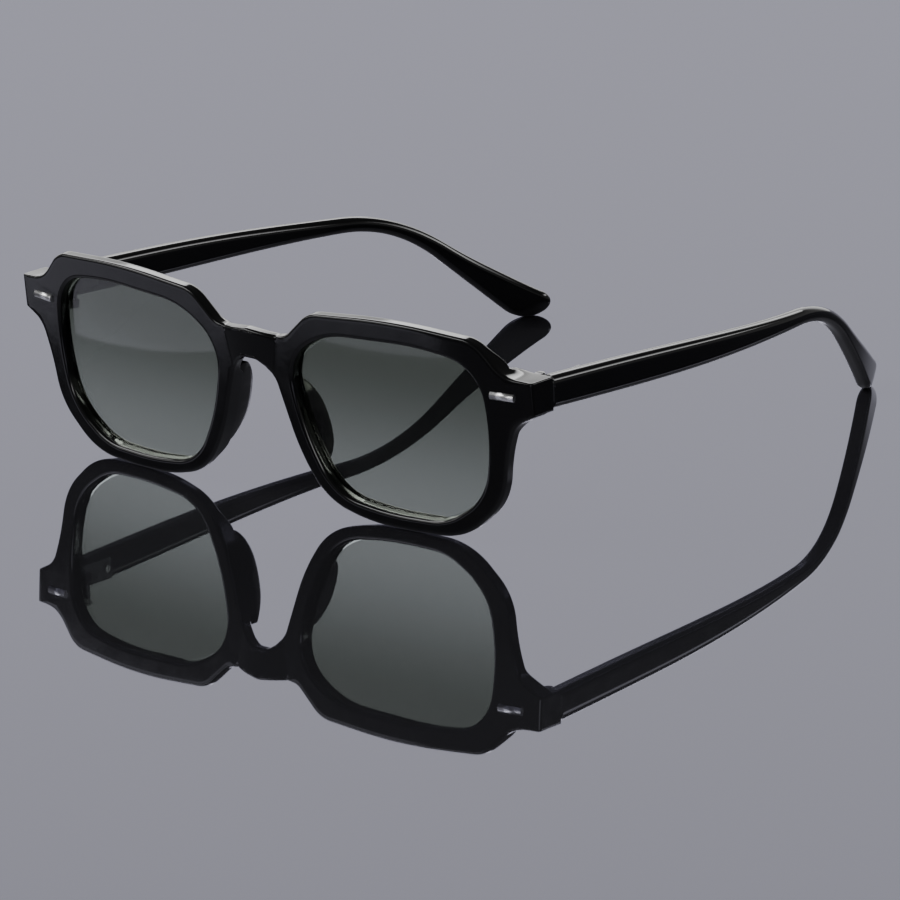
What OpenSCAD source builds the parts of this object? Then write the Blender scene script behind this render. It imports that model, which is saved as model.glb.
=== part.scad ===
// Square sunglasses: a moulded front, tinted lenses, and two temples on screwed hinges.
// +Z is up and +Y runs back to the temple tips. The open glasses stand on the floor at z = 0.
// The origin is on the floor, in the middle of the open glasses.

/* [Front] */
// Width across the end pieces
front_w = 142; // [134:1:150]
// Thickness of the rims
front_t = 4.2; // [4:0.1:5]
// Radius of the front's curve, seen from above
front_r = 450; // [300:10:700]
// Lean of the front, its top forward, in degrees
front_lean = 5; // [3:0.5:7]
// Width of each lens opening
lens_w = 48.9; // [46:0.1:50]
// Height of each lens opening
lens_h = 37; // [34:0.1:39]
// Gap between the two lens openings
lens_gap = 21.2; // [19:0.1:23]
// Width of the rim above an opening
rim_top = 4.5; // [3.5:0.1:5.5]
// Width of the rim below an opening
rim_bottom = 3; // [2.4:0.1:4]
// Width of the rim beside an opening, towards the temple
rim_side = 4.2; // [3.4:0.1:5]

/* [Bridge] */
// Width of the raised bridge face at its top
bridge_w = 14.4; // [12:0.1:16]
// Height of the bridge's top corners
bridge_top = 36.9; // [35.5:0.1:38]
// Height of the bridge's underside
bridge_under = 31.2; // [30:0.1:32.5]
// Rise of the bridge's top edge in the middle
bridge_crown = 1; // [0.4:0.1:2]
// How far the bridge stands forward of the rims
bridge_bulge = 1.5; // [0.8:0.1:2.2]
// Lean of the bridge's face, its top forward, in degrees
bridge_lean = 9; // [6:0.5:11]
// Thickness of the bridge in the middle
bridge_t = 4.2; // [3.4:0.1:5]
// Radius of the hollow behind the bridge
scallop_r = 23; // [18:1:30]

/* [End pieces] */
// Height of each end piece
end_h = 7.1; // [6.6:0.1:8]
// Height of an end piece's middle above the floor
end_z = 32.85; // [31:0.05:34]
// Length of an end piece from the front's corner back to the seam
end_wrap = 6.4; // [5.8:0.1:8]
// Width of the thick block behind an end piece
end_block = 10.8; // [9.8:0.1:11.2]

/* [Lenses] */
// Thickness of a lens
lens_t = 1.5; // [1.2:0.1:1.6]
// Depth of a lens's face behind the front's face
lens_set = 2.1; // [1.6:0.1:2.2]
// Depth of the groove that holds a lens
groove_d = 0.8; // [0.5:0.1:1]
// Room between a lens and its groove
lens_fit = 0.03; // [0.01:0.01:0.05]

/* [Nose pads] */
// How far a pad stands behind the rims
pad_reach = 5.8; // [4:0.1:6.5]
// Height of a pad
pad_h = 19; // [15:0.5:20]
// Height of a pad's middle above the floor
pad_z = 18.8; // [17:0.1:20]
// Width of a pad's foot on the rim
pad_foot = 2.6; // [2:0.1:3]
// Distance of a pad's foot from the rim's edge at the nose
pad_margin = 0.5; // [0.3:0.1:0.8]
// Height of a pad's blunt ends above the rim
pad_end = 0.3; // [0.2:0.05:0.5]
// How far a pad leans outwards from its foot to its crest
pad_splay = 1.8; // [0.8:0.1:2.4]
// Film of glue between a pad and the rim
glue_t = 0.03; // [0.02:0.01:0.1]

/* [Plaques] */
// Length of a plaque
plaque_l = 5.7; // [4.5:0.1:6.5]
// Height of a plaque
plaque_h = 1.75; // [1.2:0.05:2.4]
// How far a plaque stands proud of the front
plaque_proud = 0.6; // [0.3:0.05:0.8]
// How deep a plaque is let into the front
plaque_sink = 0.5; // [0.3:0.05:0.8]
// Width of the bevel round a plaque's face
plaque_bevel = 0.3; // [0.1:0.05:0.4]
// Distance of a plaque's middle from the end of the front
plaque_inset = 6.7; // [6.2:0.1:7.2]
// Radius of a plaque's two pins
plaque_pin_r = 0.4; // [0.3:0.05:0.5]
// Length of a plaque's pins
plaque_pin_l = 1.6; // [1:0.1:2]

/* [Hinges] */
// Radius of the knuckles
knuckle_r = 1.35; // [1.25:0.05:1.5]
// Height of the three knuckles together
hinge_h = 5.4; // [5:0.1:5.6]
// Height of the middle knuckle
middle_h = 1.9; // [1.6:0.1:2.2]
// Gap between two knuckles
knuckle_gap = 0.05; // [0.03:0.01:0.1]
// Air between a knuckle and the plastic that turns past it
knuckle_air = 0.3; // [0.2:0.05:0.4]
// Distance of the hinge axis inside the temple's inner face
axis_in = 0.8; // [0.6:0.05:1]
// Thickness of the hinge leaves
leaf_t = 1; // [0.8:0.05:1.2]
// Height of the hinge leaves
leaf_h = 4.8; // [4.2:0.1:5]
// Reach of the front leaf inwards from the hinge axis
front_leaf_l = 5.2; // [4.8:0.1:5.4]
// Reach of the temple leaf back from the hinge axis
temple_leaf_l = 11; // [9:0.1:13]
// Radius of the screw's shank
screw_r = 0.6; // [0.5:0.05:0.7]
// Radius of the screw's head
screw_head_r = 1; // [0.9:0.05:1.1]
// Height of the screw's head
screw_head_h = 0.5; // [0.4:0.05:0.6]
// Width of the slot in the screw's head
screw_slot_w = 0.3; // [0.2:0.05:0.4]
// Running clearance round the screw
screw_fit = 0.03; // [0.01:0.01:0.08]
// Radius of the rivets
rivet_r = 0.5; // [0.4:0.05:0.55]
// Radius of the rivets' heads
rivet_head_r = 0.8; // [0.7:0.05:0.9]
// Height of the rivets' heads
rivet_head_h = 0.2; // [0.15:0.05:0.3]
// Depth of the rivets in the plastic
rivet_l = 1.8; // [1.2:0.1:2]
// Distance of the rivets from the edges of their leaf
rivet_edge = 1.2; // [1.1:0.05:1.3]
// Room round a let-in piece of metal
metal_fit = 0.02; // [0.01:0.01:0.04]

/* [Temples] */
// Thickness of a temple at the hinge
temple_t = 4; // [3.8:0.1:4.6]
// Thickness of a temple at its tip
tip_t = 3.2; // [2.6:0.1:3.8]
// Height of a temple at the hinge
temple_h = 6.8; // [6.2:0.1:7]
// Height of a temple at its narrowest, just before the ear
waist_h = 3.2; // [2.8:0.1:4]
// Height of the paddle at the tip
tip_h = 7.8; // [6:0.1:8.6]
// Length from the seam to the ear bend
straight_l = 85; // [78:0.5:92]
// Slope of the straight length, in degrees
temple_slope = 3.3; // [2.5:0.1:4]
// Radius of the ear bend
bend_r = 42; // [34:1:50]
// Slope behind the ear, in degrees
ear_slope = 40; // [36:0.5:44]
// Length of the tip's rounded end
tip_cap = 3.6; // [3:0.1:4.4]
// Length from the start of the ear bend to the narrowest place
waist_back = 12; // [8:1:16]
// How far the tip bows inwards
tip_in = 22; // [18:0.5:24]
// Length of the temple before it starts to bow
bow_start = 28; // [20:1:40]
// Gap at the seam between an end piece and its temple
seam_gap = 0.2; // [0.15:0.05:0.3]
// Step of the temple's outer face inside the end piece's
seam_step = 0.1; // [0:0.05:0.3]

/* [Hidden] */

$fn = 48;
// Fineness of the front's wide curve
curve_fn = 720;
// How far the straight edges of an outline lie inside its arcs
arc_tol = 0.03;
// Overshoot of a cut past the surface that it opens
over = 1;
// Reach of the solids from which the front is cut
deep = 40;

black = [0.04, 0.04, 0.045];
smoke = [0.33, 0.35, 0.34, 0.75];
silver = [0.8, 0.8, 0.82];
steel = [0.62, 0.62, 0.65];

// Edges of the right lens opening and of the right end piece
open_x0 = lens_gap / 2;
open_x1 = open_x0 + lens_w;
open_z0 = rim_bottom;
open_z1 = open_z0 + lens_h;
end_x = front_w / 2;
end_z0 = end_z - end_h / 2;
end_z1 = end_z + end_h / 2;

// How far the front's face lies behind its own foot on the middle line
function set_back(x, z) =
    (front_r - sqrt(front_r * front_r - x * x)) / cos(front_lean) - z * tan(front_lean);

// Shape of the temple along its side path, where s runs from its front end
bend_l = bend_r * (ear_slope - temple_slope) * PI / 180;
bend_end = straight_l + bend_l;
bend_y = straight_l * cos(temple_slope);
bend_drop = straight_l * sin(temple_slope);
ear_y = bend_y + bend_r * (sin(ear_slope) - sin(temple_slope));
ear_drop = bend_drop + bend_r * (cos(temple_slope) - cos(ear_slope));
temple_z = end_z1 - temple_h / 2;
// The rounded end touches the floor, which sets the length behind the ear
cap_drop = norm([tip_cap * sin(ear_slope), tip_h / 2 * cos(ear_slope)]);
ear_l = (temple_z - ear_drop - cap_drop) / sin(ear_slope);
cap_s = bend_end + ear_l;
waist_s = straight_l + waist_back;

function path_slope(s) =
    s < straight_l ? temple_slope
    : s < bend_end ? temple_slope + (s - straight_l) / bend_r * 180 / PI
    : ear_slope;
function path_y(s) =
    s < straight_l ? s * cos(temple_slope)
    : s < bend_end ? bend_y + bend_r * (sin(path_slope(s)) - sin(temple_slope))
    : ear_y + (s - bend_end) * cos(ear_slope);
function path_z(s) =
    s < straight_l ? -s * sin(temple_slope)
    : s < bend_end ? -bend_drop - bend_r * (cos(temple_slope) - cos(path_slope(s)))
    : -ear_drop - (s - bend_end) * sin(ear_slope);

// The inward bow grows from bow_start to the end of the tip
bow_end = path_y(cap_s + tip_cap);
bow_power = 2.6;
function bow(y) = tip_in * pow(max(0, (y - bow_start) / (bow_end - bow_start)), bow_power);
function bow_turn(y) = atan(bow(y + 0.5) - bow(y - 0.5));

// Half height and half thickness of the temple
function ease(v) = (1 + cos(180 * v)) / 2;
function half_height(s) =
    s < waist_s
    ? (waist_h + (temple_h - waist_h) * ease(pow(max(s, 0) / waist_s, 1.5))) / 2
    : (waist_h + (tip_h - waist_h) * pow((min(s, cap_s) - waist_s) / (cap_s - waist_s), 1.7)) / 2;
function half_width(s) = (temple_t + (tip_t - temple_t) * min(max(s, 0), cap_s) / cap_s) / 2;
// The lower the power, the squarer the section
function roundness(s) = lookup(s, [[0, 0.2], [12, 0.3], [40, 0.42], [cap_s, 0.6]]);
function cap_scale(s) = s < cap_s ? 1 : sqrt(1 - pow((s - cap_s) / tip_cap, 2));

function power(v, p) = sign(v) * pow(abs(v), p);
ring_n = 24;
function temple_ring(s) =
    let (
        y = path_y(s),
        a = path_slope(s),
        turn = bow_turn(y),
        centre = [-bow(y), y, path_z(s)],
        side = [cos(turn), sin(turn), 0],
        up = [-sin(turn) * sin(a), cos(turn) * sin(a), cos(a)],
        u = half_width(s) * cap_scale(s),
        v = half_height(s) * cap_scale(s),
        p = roundness(s)
    )
    [for (k = [0:ring_n - 1])
        let (t = 360 * (k + 0.5) / ring_n)
        centre + side * u * power(cos(t), p) + up * v * power(sin(t), p)];
temple_rings = concat(
    [temple_ring(-over)],
    [for (k = [0:14]) temple_ring(straight_l * k / 14)],
    [for (k = [1:9]) temple_ring(straight_l + bend_l * k / 9)],
    [for (k = [1:7]) temple_ring(bend_end + ear_l * k / 7)],
    [for (k = [1:6]) temple_ring(cap_s + tip_cap * sin(80 * k / 6))]
);

// Depths, from the foremost point on the bridge and the rearmost on the tips
crown_z = bridge_top + bridge_crown;
fore_rel = set_back(0, crown_z) - bridge_bulge;
seam_rel = set_back(end_x, end_z) + end_wrap;
tip_rel = max([for (ring = temple_rings) for (p = ring) p[1]]);
foot_y = -(fore_rel + seam_rel + seam_gap + tip_rel) / 2;
function face_y(x, z) = foot_y + set_back(x, z);
bridge_y = face_y(0, crown_z) - bridge_bulge;
seam_y = face_y(end_x, end_z) + end_wrap;

// Temple's place and the hinge axis
temple_y = seam_y + seam_gap;
temple_x1 = end_x - seam_step;
temple_x0 = temple_x1 - temple_t;
axis_x = temple_x0 - axis_in;
axis_back = knuckle_r + knuckle_air;
axis_y = seam_y + axis_back;
outer_z = middle_h / 2 + knuckle_gap;
outer_h = hinge_h / 2 - outer_z;

// Round the corner p between its neighbours a and b. A corner is [x, z, radius].
function flat(p) = [p[0], p[1]];
function unit(v) = v / norm(v);
function heading(v) = atan2(v[1], v[0]);
function short_way(a) = a > 180 ? a - 360 : a < -180 ? a + 360 : a;
function corner_arc(a, p, b) =
    let (
        u = unit(flat(a) - flat(p)),
        v = unit(flat(b) - flat(p)),
        half = acos(u * v) / 2,
        room = 0.49 * min(norm(flat(a) - flat(p)), norm(flat(b) - flat(p))),
        reach = min(p[2] / tan(half), room),
        r = reach * tan(half),
        middle = flat(p) + unit(u + v) * r / sin(half),
        start = heading(flat(p) + u * reach - middle),
        sweep = short_way(heading(flat(p) + v * reach - middle) - start),
        steps = ceil(abs(sweep) / (2 * acos(1 - arc_tol / r)))
    )
    [for (k = [0:steps]) middle + r * [cos(start + sweep * k / steps), sin(start + sweep * k / steps)]];
function rounded(c) =
    let (n = len(c))
    [for (i = [0:n - 1])
        each c[i][2] == 0 ? [flat(c[i])] : corner_arc(c[(i + n - 1) % n], c[i], c[(i + 1) % n])
    ];

// Grow a clockwise outline outwards by d
function outward(a, b) = let (t = unit(b - a)) [-t[1], t[0]];
function grown(pts, d) =
    let (n = len(pts))
    [for (i = [0:n - 1])
        let (
            n1 = outward(pts[(i + n - 1) % n], pts[i]),
            n2 = outward(pts[i], pts[(i + 1) % n])
        )
        pts[i] + (n1 + n2) * d / (1 + n1 * n2)];

// Right lens opening, clockwise from the top by the nose
opening = rounded([
    [open_x0 + 9.1, open_z1 - 0.8, 20.6],
    [open_x0 + 33.2, open_z1 + 0.26, 69],
    [open_x1 - 1.1, open_z1 - 2.2, 9.5],
    [open_x1 + 0.4, open_z0 + 20.1, 46],
    [open_x1 - 2, open_z0 + 7, 14],
    [open_x1 - 12.05, open_z0 + 0.3, 14.6],
    [open_x0 + 21.9, open_z0 - 0.07, 74],
    [open_x0 + 8.8, open_z0 + 1.9, 12.4],
    [open_x0 + 1.7, open_z0 + 15, 45],
    [open_x0 - 1, open_z1 - 8, 9.5]
]);

// Outline of the front, clockwise. The rims' bottoms have a short flat on the floor.
bridge_x = bridge_w / 2;
rest_x0 = open_x0 + 26;
rest_x1 = open_x0 + 29;
crown_corners = [for (k = [-4:4]) [bridge_x * k / 4, crown_z - bridge_crown * pow(k / 4, 2), 0]];
rim_corners = [
    [bridge_x + 2.5, bridge_top + 0.4, 4.2],
    [open_x0 + 5.6, open_z1 + rim_top - 1.3, 7.4],
    [open_x0 + 26.6, open_z1 + rim_top + 0.35, 141],
    [open_x1 - 1.5, open_z1 + rim_top - 1, 6.9],
    [open_x1 + rim_side - 0.7, end_z1 + 1.6, 11],
    [end_x, end_z1, 0.3],
    [end_x, end_z0, 0.3],
    [open_x1 + rim_side + 2.4, end_z0 - 2.45, 6],
    [open_x1 + rim_side, open_z0 + 16.8, 45],
    [open_x1 + rim_side - 1.6, open_z0 + 6.7, 14.2],
    [open_x1 - 7.6, 0.5, 17],
    [rest_x1, 0, 3],
    [rest_x0, 0, 3],
    [open_x0 + 17.3, 0.25, 46],
    [open_x0 + 6.4, open_z0 + 0.1, 14.5],
    [open_x0 + 0.1, open_z0 + 9.6, 41],
    [bridge_x - 1.3, bridge_under - 3.5, 6],
    [bridge_x - 3.4, bridge_under - 1.3, 1.4]
];
under_corners = [[bridge_x / 4, bridge_under, 3]];
function flipped(c) = [for (i = [len(c) - 1:-1:0]) [-c[i][0], c[i][1], c[i][2]]];
outline = rounded(concat(
    crown_corners, rim_corners, under_corners,
    flipped(under_corners), flipped(rim_corners)
));

// Solid with this outline in the x-z plane, through the whole depth of the front
module through(pts) {
    translate([0, foot_y + deep, 0])
        rotate([90, 0, 0])
            linear_extrude(2 * deep)
                polygon(pts);
}

// Solid behind the curved sheet that lies d behind the front's face
module behind(d) {
    translate([0, foot_y, 0])
        rotate([front_lean, 0, 0])
            translate([0, front_r, -deep])
                cylinder(r = front_r - d, h = 3 * deep, $fn = curve_fn);
}

// Curved sheet between the depths d0 and d1
module sheet(d0, d1) {
    difference() {
        behind(d0);
        behind(d1);
    }
}

// Leaning round post with its foremost line on the bridge's face, and of the radius r
module bridge_post(r, d) {
    translate([0, bridge_y + d, crown_z])
        rotate([bridge_lean, 0, 0])
            translate([0, r, -deep])
                cylinder(r = r, h = 2 * deep, $fn = 180);
}

// Children at the middle of the right hinge's axis
module at_hinge() {
    translate([axis_x, axis_y, end_z])
        children();
}

// Box from x, y that is centred on z = 0
module slab(x, y, size) {
    translate([x, y, -size[2] / 2])
        cube(size);
}

// Front leaf's plate, let into the end piece, grown by d
module front_plate(d) {
    slab(-front_leaf_l - d, -axis_back - leaf_t - d, [front_leaf_l + 2 * d, leaf_t + d, leaf_h + 2 * d]);
}

// Temple leaf's plate, let into the temple, grown by d
module temple_plate(d) {
    slab(axis_in, -d, [leaf_t + d, temple_leaf_l + 2 * d, leaf_h + 2 * d]);
}

// Rivet with its head above z = 0 and its shank below
module rivet() {
    translate([0, 0, metal_fit])
        cylinder(r = rivet_head_r, h = rivet_head_h);
    translate([0, 0, -leaf_t - rivet_l])
        cylinder(r = rivet_r, h = leaf_t + rivet_l + metal_fit);
}

// Hole for a rivet
module rivet_hole() {
    translate([0, 0, -leaf_t - rivet_l - metal_fit])
        cylinder(r = rivet_r + metal_fit, h = leaf_t + rivet_l + over);
}

// Children on the front leaf's face, at the upper (1) or lower (-1) rivet
module at_front_rivet(k) {
    at_hinge()
        translate([rivet_edge - front_leaf_l, -axis_back, k * (leaf_h / 2 - rivet_edge)])
            rotate([-90, 0, 0])
                children();
}

// Children on the temple leaf's face, at the fore (0) or rear (1) rivet
rivet_y = [axis_back + rivet_head_r + rivet_edge, temple_leaf_l - rivet_edge];
module at_temple_rivet(k) {
    at_hinge()
        translate([axis_in, rivet_y[k], 0])
            rotate([0, -90, 0])
                children();
}

// Children on the front's face at the right plaque, with y pointing into the front
module at_plaque() {
    x = end_x - plaque_inset;
    translate([x, face_y(x, end_z), end_z])
        rotate([front_lean, 0, 0])
            rotate([0, 0, asin(x / front_r)])
                children();
}

// Block of a plaque, grown by d, from the depth y0 to the sunk back
module plaque_block(y0, d) {
    slab(-plaque_l / 2 - d, y0, [plaque_l + 2 * d, plaque_sink + d - y0, plaque_h + 2 * d]);
}

// Pins of a plaque, grown by d
module plaque_pins(d) {
    for (x = [-plaque_l / 4, plaque_l / 4])
        translate([x, plaque_sink + plaque_pin_l + d, 0])
            rotate([90, 0, 0])
                cylinder(r = plaque_pin_r + d, h = plaque_pin_l + plaque_sink / 2, $fn = 24);
}

// Everything cut out of the right half of the front
module front_cuts() {
    through(opening);
    intersection() {
        through(grown(opening, groove_d));
        sheet(lens_set - lens_fit, lens_set + lens_t + lens_fit);
    }
    at_plaque() {
        plaque_block(-over, metal_fit);
        plaque_pins(metal_fit);
    }
    at_hinge()
        front_plate(metal_fit);
    for (k = [1, -1])
        at_front_rivet(k)
            rivet_hole();
}

module front_frame() {
    color(black)
        difference() {
            union() {
                intersection() {
                    through(outline);
                    sheet(0, front_t);
                }
                intersection() {
                    through(outline);
                    bridge_post((pow(bridge_x, 2) + pow(bridge_bulge, 2)) / (2 * bridge_bulge), 0);
                    translate([-bridge_x, bridge_y - over, 0])
                        cube([bridge_w, face_y(0, crown_z) + front_t / 2 - bridge_y + over, deep + over]);
                }
                for (side = [0, 1])
                    mirror([side, 0, 0])
                        intersection() {
                            translate([end_x - end_block, seam_y - deep, end_z0])
                                cube([end_block, deep, end_h]);
                            behind(0);
                        }
            }
            // Scallop behind the bridge
            bridge_post(scallop_r, bridge_t);
            for (side = [0, 1])
                mirror([side, 0, 0])
                    front_cuts();
        }
}

module lens() {
    color(smoke)
        intersection() {
            through(grown(opening, groove_d - lens_fit));
            sheet(lens_set, lens_set + lens_t);
        }
}

// One level of a nose pad: an arch that stands on the rim's back, at v = -1 to 1 up the pad
pad_edge = [
    [0, open_x0 + 6.4],
    [open_z0 + 9.6, open_x0 + 0.1],
    [bridge_under - 3.5, bridge_x - 1.3],
    [bridge_under, bridge_x - 3.4]
];
pad_n = 14;
function pad_ring(v) =
    let (
        z = pad_z + v * pad_h / 2,
        rise = pow(1 - pow(abs(v), 2.4), 0.7),
        x = lookup(z, pad_edge) + pad_margin + pad_foot / 2,
        half = pad_foot / 2 * (0.5 + rise / 2)
    )
    [for (k = [0:pad_n])
        let (
            t = 180 * k / pad_n,
            px = x + half * power(cos(t), 0.7) + pad_splay * rise * sin(t),
            py = (pad_reach * rise + pad_end) * pow(sin(t), 0.8)
        )
        [px, face_y(px, z) + (front_t + glue_t) / cos(front_lean) + py, z]];

// Closed skin over a list of rings
module skin(rings) {
    m = len(rings[0]);
    last = (len(rings) - 1) * m;
    polyhedron(
        points = [for (ring = rings) each ring],
        faces = concat(
            [[for (k = [0:m - 1]) k]],
            [[for (k = [m - 1:-1:0]) last + k]],
            [for (i = [0:len(rings) - 2]) for (k = [0:m - 1])
                let (a = i * m + k, b = i * m + (k + 1) % m)
                each [[a, a + m, b], [b, a + m, b + m]]]
        ),
        convexity = 4
    );
}

module nose_pad() {
    color(black)
        skin([for (k = [-8:8]) pad_ring(sin(80 * k / 8))]);
}

module plaque() {
    color(silver)
        at_plaque() {
            hull() {
                plaque_block(plaque_bevel - plaque_proud, 0);
                slab(
                    plaque_bevel - plaque_l / 2, -plaque_proud,
                    [plaque_l - 2 * plaque_bevel, plaque_proud, plaque_h - 2 * plaque_bevel]
                );
            }
            plaque_pins(0);
        }
}

// Knuckle from z0 to z0 + h
module knuckle(z0, h) {
    translate([0, 0, z0])
        cylinder(r = knuckle_r, h = h);
}

module screw_bore() {
    cylinder(r = screw_r + screw_fit, h = hinge_h + 2 * over, center = true);
}

module front_leaf() {
    color(steel)
        difference() {
            at_hinge()
                difference() {
                    union() {
                        front_plate(0);
                        for (side = [0, 1])
                            mirror([0, 0, side]) {
                                knuckle(outer_z, outer_h);
                                translate([-knuckle_r, -axis_back - leaf_t / 2, outer_z])
                                    cube([knuckle_r, axis_back + leaf_t / 2, leaf_h / 2 - outer_z]);
                            }
                    }
                    screw_bore();
                }
            for (k = [1, -1])
                at_front_rivet(k)
                    rivet_hole();
        }
}

module temple_leaf() {
    color(steel)
        difference() {
            at_hinge()
                difference() {
                    union() {
                        slab(axis_in, axis_back, [leaf_t, temple_leaf_l - axis_back, leaf_h]);
                        knuckle(-middle_h / 2, middle_h);
                        slab(0, 0, [axis_in + leaf_t, axis_back + leaf_t, middle_h]);
                    }
                    screw_bore();
                }
            for (k = [0, 1])
                at_temple_rivet(k)
                    rivet_hole();
        }
}

module hinge_screw() {
    color(steel)
        at_hinge()
            difference() {
                union() {
                    translate([0, 0, -hinge_h / 2])
                        cylinder(r = screw_r, h = hinge_h + screw_fit);
                    translate([0, 0, hinge_h / 2 + screw_fit])
                        cylinder(r = screw_head_r, h = screw_head_h);
                }
                translate([0, 0, hinge_h / 2 + screw_fit + screw_head_h])
                    cube([2 * screw_head_r + over, screw_slot_w, screw_head_h], center = true);
            }
}

module front_rivet(k) {
    color(silver)
        at_front_rivet(k)
            rivet();
}

module temple_rivet(k) {
    color(silver)
        at_temple_rivet(k)
            rivet();
}

module temple() {
    color(black)
        difference() {
            translate([temple_x1 - temple_t / 2, temple_y, temple_z])
                skin(temple_rings);
            translate([temple_x0 - over, temple_y - 4 * over, end_z - end_h])
                cube([temple_t + 2 * over, 4 * over, 2 * end_h]);
            at_hinge() {
                cylinder(r = knuckle_r + knuckle_air / 2, h = 2 * end_h, center = true);
                temple_plate(metal_fit);
                translate([-over, 0, 0])
                    temple_plate(metal_fit);
            }
            for (k = [0, 1])
                at_temple_rivet(k)
                    rivet_hole();
        }
}

// Left-hand copy of a right-hand piece
module left() {
    mirror([1, 0, 0])
        children();
}

front_frame();
lens();  // lens_right
left() lens();  // lens_left
nose_pad();  // nose_pad_right
left() nose_pad();  // nose_pad_left
plaque();  // plaque_right
left() plaque();  // plaque_left
front_leaf();  // front_leaf_right
left() front_leaf();  // front_leaf_left
front_rivet(1);  // front_rivet_right_upper
front_rivet(-1);  // front_rivet_right_lower
left() front_rivet(1);  // front_rivet_left_upper
left() front_rivet(-1);  // front_rivet_left_lower
hinge_screw();  // hinge_screw_right
left() hinge_screw();  // hinge_screw_left
temple();  // temple_right
left() temple();  // temple_left
temple_leaf();  // temple_leaf_right
left() temple_leaf();  // temple_leaf_left
temple_rivet(0);  // temple_rivet_right_fore
temple_rivet(1);  // temple_rivet_right_rear
left() temple_rivet(0);  // temple_rivet_left_fore
left() temple_rivet(1);  // temple_rivet_left_rear
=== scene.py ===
import math

import bmesh
import bpy
from mathutils import Matrix, Vector, kdtree


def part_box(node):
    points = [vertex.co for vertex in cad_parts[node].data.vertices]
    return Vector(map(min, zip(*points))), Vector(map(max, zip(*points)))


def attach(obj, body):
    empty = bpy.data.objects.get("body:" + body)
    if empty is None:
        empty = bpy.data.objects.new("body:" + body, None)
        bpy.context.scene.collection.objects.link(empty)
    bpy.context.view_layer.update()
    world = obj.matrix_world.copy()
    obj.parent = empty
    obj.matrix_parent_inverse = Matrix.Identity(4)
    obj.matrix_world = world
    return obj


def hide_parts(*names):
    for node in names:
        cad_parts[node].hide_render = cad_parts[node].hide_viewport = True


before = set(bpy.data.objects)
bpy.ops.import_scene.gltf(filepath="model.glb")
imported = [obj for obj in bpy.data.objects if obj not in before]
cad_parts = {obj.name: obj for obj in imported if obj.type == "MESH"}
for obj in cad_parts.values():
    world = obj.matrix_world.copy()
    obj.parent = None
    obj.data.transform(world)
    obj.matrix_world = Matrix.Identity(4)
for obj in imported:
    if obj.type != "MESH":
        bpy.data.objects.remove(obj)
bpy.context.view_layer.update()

# Camera: a long lens, a little above the open glasses and to their right. It
# stands where the photograph was taken from, at the same distance and roll.
camera_place = (0.90195, -1.01317, 0.40252)
camera_data = bpy.data.cameras.new("studio_camera")
camera_data.lens = 265.9
camera_data.sensor_width = 36
camera_data.clip_start = 0.05
camera_data.clip_end = 50
camera = bpy.data.objects.new("studio_camera", camera_data)
bpy.context.scene.collection.objects.link(camera)
camera_right = Vector((0.7486, 0.6625, -0.0272)).normalized()
camera_back = Vector((0.64046, -0.71192, 0.28804)).normalized()
camera_up = camera_back.cross(camera_right).normalized()
camera_turn = Matrix((camera_right, camera_up, camera_back)).transposed().to_4x4()
camera.matrix_world = Matrix.Translation(camera_place) @ camera_turn
bpy.context.scene.camera = camera

# Studio: a smooth pale floor that mirrors at flat angles, in front of a pale
# backdrop with soft boxes. The backdrop and the boxes are the world itself.
floor_half = 12
floor_colour = (0.36, 0.357, 0.41, 1)
sheen_colour = (0.20, 0.199, 0.236, 1)
floor_mesh = bpy.data.meshes.new("floor")
floor_bm = bmesh.new()
bmesh.ops.create_grid(floor_bm, x_segments=1, y_segments=1, size=floor_half)
floor_bm.to_mesh(floor_mesh)
floor_bm.free()
floor = bpy.data.objects.new("floor", floor_mesh)
bpy.context.scene.collection.objects.link(floor)

floor_paint = bpy.data.materials.new("pale_floor")
floor_paint.use_nodes = True
nodes, links = floor_paint.node_tree.nodes, floor_paint.node_tree.links
nodes.clear()
output = nodes.new("ShaderNodeOutputMaterial")
matt = nodes.new("ShaderNodeBsdfDiffuse")
matt.inputs["Color"].default_value = floor_colour
sheen = nodes.new("ShaderNodeBsdfGlossy")
sheen.inputs["Color"].default_value = sheen_colour
sheen.inputs["Roughness"].default_value = 0.015
facing = nodes.new("ShaderNodeLayerWeight")
facing.inputs["Blend"].default_value = 0.5
share = nodes.new("ShaderNodeMapRange")
share.inputs["From Min"].default_value = 0.42
share.inputs["From Max"].default_value = 0.66
share.inputs["To Min"].default_value = 0.05
share.inputs["To Max"].default_value = 0.96
mix = nodes.new("ShaderNodeMixShader")
links.new(facing.outputs["Facing"], share.inputs["Value"])
links.new(share.outputs["Result"], mix.inputs["Fac"])
links.new(matt.outputs["BSDF"], mix.inputs[1])
links.new(sheen.outputs["BSDF"], mix.inputs[2])
links.new(mix.outputs["Shader"], output.inputs["Surface"])
floor_mesh.materials.append(floor_paint)

world = bpy.data.worlds.new("studio")
world.use_nodes = True
bpy.context.scene.world = world
nodes, links = world.node_tree.nodes, world.node_tree.links
nodes.clear()
output = nodes.new("ShaderNodeOutputWorld")
glow = nodes.new("ShaderNodeBackground")
direction = nodes.new("ShaderNodeTexCoord")
parts = nodes.new("ShaderNodeSeparateXYZ")
links.new(direction.outputs["Generated"], parts.inputs["Vector"])


def calc(operation, *inputs):
    """One step of arithmetic on the light, from sockets or plain numbers."""
    node = nodes.new("ShaderNodeMath")
    node.operation = operation
    for socket, value in zip(node.inputs, inputs):
        if isinstance(value, (int, float)):
            socket.default_value = value
        else:
            links.new(value, socket)
    return node.outputs["Value"]


def edge(value, dark, bright):
    """Soft step from 0 at dark to 1 at bright."""
    node = nodes.new("ShaderNodeMapRange")
    node.interpolation_type = "SMOOTHSTEP"
    node.inputs["From Min"].default_value = dark
    node.inputs["From Max"].default_value = bright
    links.new(value, node.inputs["Value"])
    return node.outputs["Result"]


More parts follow.
